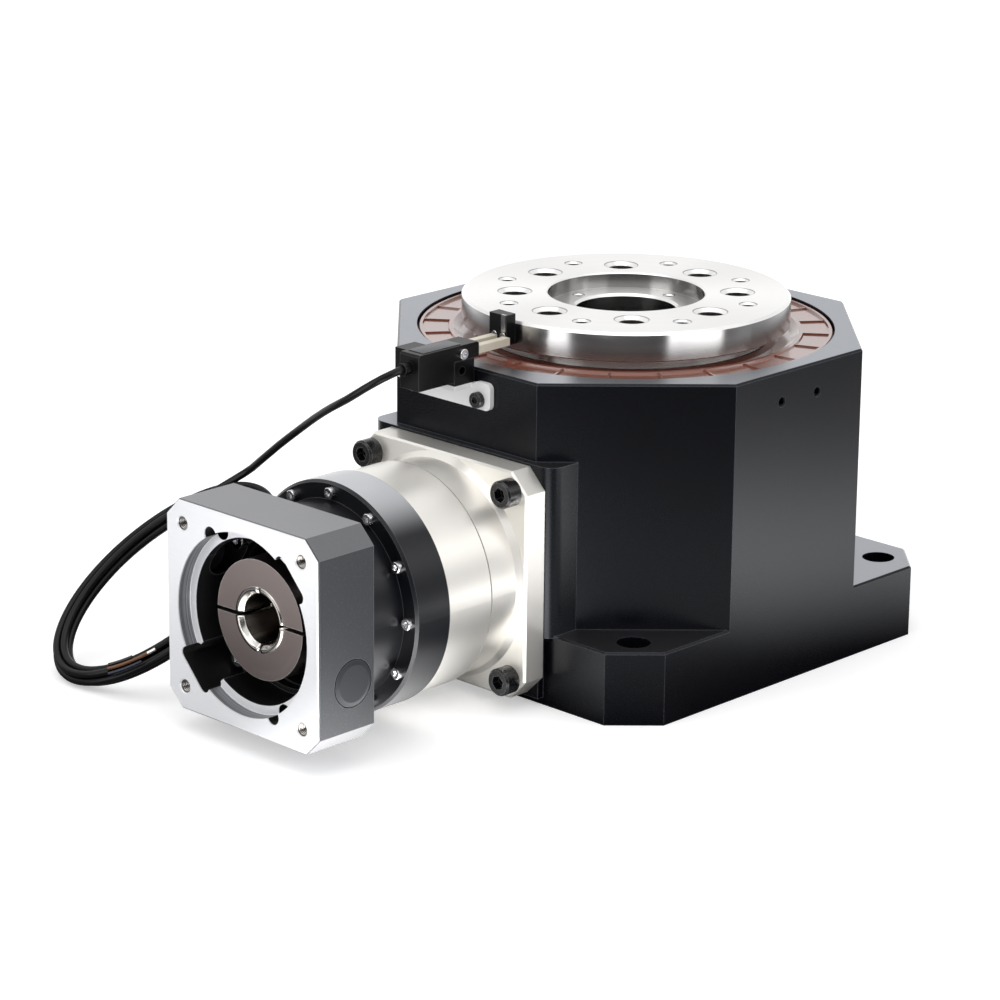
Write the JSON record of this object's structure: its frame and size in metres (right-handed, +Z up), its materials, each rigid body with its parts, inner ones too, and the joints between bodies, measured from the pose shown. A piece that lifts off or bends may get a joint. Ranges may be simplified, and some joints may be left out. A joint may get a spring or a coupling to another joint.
{
  "type": "hollow rotary platform",
  "caption": "Octagonal housing with a hollow turning table on top, driven at a right angle by a planetary gearbox with a square motor adapter; home sensor with cable on the front.",
  "frame": {"origin": "table axis on the plane of the mounting face", "axes": "+Z up along the table axis, -Y from the axis towards the motor adapter, +X to the right of someone facing the motor adapter from the front"},
  "size_m": [0.2175, 0.2964, 0.142],
  "materials": {
    "black_anodised": "satin black anodised",
    "cover_alloy": "turned",
    "turned_steel": "turned and ground",
    "bearing_steel": "ground",
    "gear_steel": "hardened and oiled",
    "nickel": "satin nickel plated",
    "seal_brown": "moulded brown fluoro rubber",
    "seal_black": "moulded",
    "bell_black": "satin black",
    "adapter_grey": "textured black coat, machined front",
    "collar_brown": "turned, oiled",
    "screw_black": "blackened steel",
    "screw_bright": "zinc plated",
    "plug_black": "moulded",
    "bracket_zinc": "zinc plated sheet",
    "sensor_black": "moulded",
    "prong_ivory": "moulded",
    "cable_black": "smooth sheath",
    "core_copper": "insulated cores"
  },
  "bodies": {
    "base": {"housing": "black_anodised", "bottom_cover": "cover_alloy", "cover_screws": "screw_black", "bottom_seal": "seal_black", "lower_bearing": "bearing_steel", "bearing_outer_ring": "bearing_steel", "bearing_retainer": "cover_alloy", "retainer_screws": "screw_black", "table_seal": "seal_brown", "gearbox_body": "nickel", "flange_screws": "screw_black", "ring_gear": "gear_steel", "output_bearings": "bearing_steel", "input_bell": "bell_black", "bell_screws": "screw_bright", "input_bearing": "bearing_steel", "motor_adapter": "adapter_grey", "adapter_screws": "screw_bright", "access_plugs": "plug_black", "sensor_bracket": "bracket_zinc", "bracket_screws": "screw_black", "sensor_bar": "sensor_black", "sensor_body": "sensor_black", "sensor_prongs": "prong_ivory", "sensor_screws": "screw_bright", "cable_gland": "cable_black", "cable_lead": "cable_black", "cable_coil": "cable_black", "cable_tail": "cable_black", "cable_cores": "core_copper"},
    "table": {"rotary_table": "turned_steel", "table_gear": "gear_steel", "table_gear_screws": "screw_black", "bearing_inner_ring": "bearing_steel", "bearing_spacer": "gear_steel", "sensor_dog": "sensor_black", "dog_screws": "screw_bright"},
    "rollers": {"bearing_rollers": "bearing_steel"},
    "output": {"planet_carrier": "gear_steel", "output_pinion": "gear_steel"},
    "planet_1": {"planet_gear_1": "gear_steel"},
    "planet_2": {"planet_gear_2": "gear_steel"},
    "planet_3": {"planet_gear_3": "gear_steel"},
    "input": {"sun_shaft": "gear_steel", "clamp_hub": "nickel", "clamp_collar": "collar_brown", "clamp_screws": "screw_black"}
  },
  "joints": [
    {"name": "table_spin", "type": "hinge", "parent": "base", "child": "table", "pos_m": [0, 0, 0.1], "axis": [0, 0, 1], "continuous": true},
    {"name": "roller_spin", "type": "hinge", "parent": "base", "child": "rollers", "pos_m": [0, 0, 0.1], "axis": [0, 0, 1], "continuous": true},
    {"name": "output_spin", "type": "hinge", "parent": "base", "child": "output", "pos_m": [0, -0.1, 0.0495], "axis": [0, 1, 0], "continuous": true},
    {"name": "input_spin", "type": "hinge", "parent": "base", "child": "input", "pos_m": [0, -0.15, 0.0495], "axis": [0, 1, 0], "continuous": true},
    {"name": "planet_1_spin", "type": "hinge", "parent": "output", "child": "planet_1", "pos_m": [0, -0.13, 0.072], "axis": [0, 1, 0], "continuous": true},
    {"name": "planet_2_spin", "type": "hinge", "parent": "output", "child": "planet_2", "pos_m": [-0.01949, -0.13, 0.03825], "axis": [0, 1, 0], "continuous": true},
    {"name": "planet_3_spin", "type": "hinge", "parent": "output", "child": "planet_3", "pos_m": [0.01949, -0.13, 0.03825], "axis": [0, 1, 0], "continuous": true}
  ],
  "couplings": [
    {"joint": "roller_spin", "follows": "table_spin", "ratio": 0.5},
    {"joint": "output_spin", "follows": "table_spin", "ratio": 4},
    {"joint": "input_spin", "follows": "table_spin", "ratio": 20},
    {"joint": "planet_1_spin", "follows": "table_spin", "ratio": -10.667},
    {"joint": "planet_2_spin", "follows": "table_spin", "ratio": -10.667},
    {"joint": "planet_3_spin", "follows": "table_spin", "ratio": -10.667}
  ]
}
